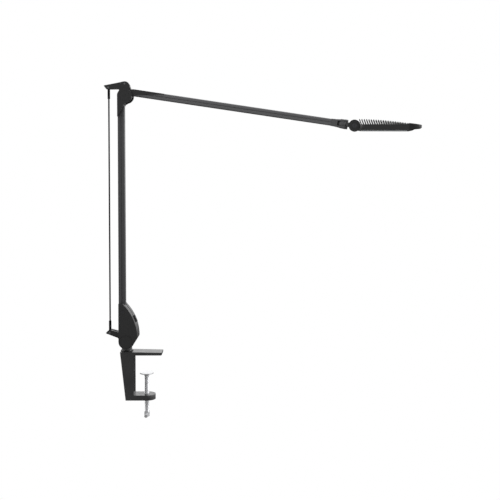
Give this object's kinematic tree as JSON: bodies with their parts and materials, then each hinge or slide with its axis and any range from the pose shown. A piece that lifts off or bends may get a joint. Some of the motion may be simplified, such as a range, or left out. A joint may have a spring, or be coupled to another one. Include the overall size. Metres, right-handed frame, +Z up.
{
  "type": "architect desk lamp",
  "caption": "Clamp-mounted architect desk lamp with a two-tube folding arm, a parallel rod linkage and a slim finned light head that pans and tilts.",
  "frame": {"origin": "on the contact face of the upper jaw's pad, straight above the clamp screw, in the middle of the arm's plane", "axes": "+X out under the upper arm and along the jaws, +Z up, +Y across the arm, away from the cover side of the casing"},
  "size_m": [0.5348, 0.0656, 0.57],
  "materials": {
    "clamp_coat": "semi-gloss charcoal powder coat",
    "cast_coat": "satin charcoal powder coat on die-cast alloy",
    "wrist_coat": "satin grey coat on die-cast alloy",
    "casing_coat": "satin charcoal powder coat on die-cast alloy",
    "tube_coat": "satin anthracite anodised extrusion",
    "head_coat": "satin charcoal powder coat on cast fins",
    "head_plastic": "fine-textured black nylon",
    "black_nylon": "moulded black nylon",
    "button_black": "soft-touch black",
    "pad_rubber": "matt black rubber",
    "lead_black": "black insulated lead",
    "black_steel": "blackened steel",
    "ferrule_black": "black oxide steel",
    "rod_steel": "dark drawn steel",
    "spring_steel": "oiled spring steel",
    "zinc": "bright zinc plate",
    "board_green": "circuit board",
    "board_white": "white-masked circuit board",
    "led_yellow": "phosphor",
    "frame_white": "white moulding",
    "diffuser_white": "opal diffuser"
  },
  "bodies": {
    "clamp": {"clamp_frame": "clamp_coat", "jaw_pad": "pad_rubber", "swivel_bush": "black_nylon", "swivel_setscrew": "black_steel"},
    "pressure_plate": {"pressure_plate": "zinc"},
    "clamp_screw": {"clamp_screw": "zinc", "tommy_bar": "zinc"},
    "foot": {"foot_turret": "cast_coat"},
    "lower_arm": {"casing_body": "casing_coat", "casing_cover": "casing_coat", "casing_screws": "black_steel", "base_axle": "zinc", "pivot_caps": "casing_coat", "balance_springs": "spring_steel", "driver_board": "board_green", "power_inlet": "black_nylon", "lower_tube": "tube_coat", "lower_lead": "lead_black", "tube_screw": "black_steel", "elbow_fork": "cast_coat", "elbow_axle": "zinc", "elbow_washers": "black_nylon", "elbow_caps": "cast_coat"},
    "power_button": {"power_button": "button_black"},
    "lower_lever": {"lower_lever": "cast_coat", "lower_lever_pin": "zinc"},
    "rod": {"parallel_rod": "rod_steel", "lower_rod_end": "ferrule_black", "upper_rod_end": "ferrule_black"},
    "upper_arm": {"elbow_knuckle": "cast_coat", "upper_lever": "cast_coat", "lever_bolts": "black_steel", "lever_cross_pin": "zinc", "upper_lever_pin": "zinc", "upper_tube": "tube_coat", "upper_lead": "lead_black", "wrist_fork": "wrist_coat", "pan_pin": "black_steel"},
    "wrist": {"wrist_block": "wrist_coat"},
    "head": {"head_heatsink": "head_coat", "head_tip": "head_plastic", "led_board": "board_white", "led_chips": "led_yellow", "diffuser_frame": "frame_white", "diffuser": "diffuser_white", "tilt_bolt": "black_steel", "tilt_nut": "black_steel", "head_screws": "zinc"}
  },
  "joints": [
    {"name": "screw_travel", "type": "slide", "parent": "clamp", "child": "pressure_plate", "axis": [0, 0, 1], "range_m": [-0.03, 0.02]},
    {"name": "screw_turn", "type": "hinge", "parent": "pressure_plate", "child": "clamp_screw", "pos_m": [0, 0, -0.06], "axis": [0, 0, 1], "range_deg": [-8660, 5780]},
    {"name": "base_swivel", "type": "hinge", "parent": "clamp", "child": "foot", "pos_m": [-0.0335, 0, 0.024], "axis": [0, 0, 1], "range_deg": [-170, 170]},
    {"name": "lower_arm_tilt", "type": "hinge", "parent": "foot", "child": "lower_arm", "pos_m": [-0.0335, 0, 0.024], "axis": [0, 1, 0], "range_deg": [-15, 60]},
    {"name": "elbow_tilt", "type": "hinge", "parent": "lower_arm", "child": "upper_arm", "pos_m": [-0.0335, 0, 0.439], "axis": [0, -1, 0], "range_deg": [-30, 50]},
    {"name": "lever_turn", "type": "hinge", "parent": "lower_arm", "child": "lower_lever", "pos_m": [-0.0335, 0, 0.024], "axis": [0, -1, 0], "range_deg": [-30.5, 50.5]},
    {"name": "rod_turn", "type": "hinge", "parent": "lower_lever", "child": "rod", "pos_m": [-0.0619, 0, 0.0382], "axis": [0, -1, 0], "range_deg": [-50.5, 30.5]},
    {"name": "head_pan", "type": "hinge", "parent": "upper_arm", "child": "wrist", "pos_m": [0.3331, 0, 0.39146], "axis": [0.1482, 0, 0.989], "range_deg": [-80, 80]},
    {"name": "head_tilt", "type": "hinge", "parent": "wrist", "child": "head", "pos_m": [0.35332, -0.00251, 0.38843], "axis": [0.1205, 0.9925, -0.0181], "range_deg": [-75, 85]},
    {"name": "power_press", "type": "slide", "parent": "lower_arm", "child": "power_button", "axis": [-0.9249, 0, -0.3801], "range_m": [0, 0.0012], "stiffness_N_per_m": 400}
  ],
  "couplings": [
    {"joint": "screw_turn", "follows": "screw_travel", "rad_per_m": 5026.5},
    {"joint": "lever_turn", "follows": "elbow_tilt", "ratio": 1},
    {"joint": "rod_turn", "follows": "elbow_tilt", "ratio": -1}
  ]
}
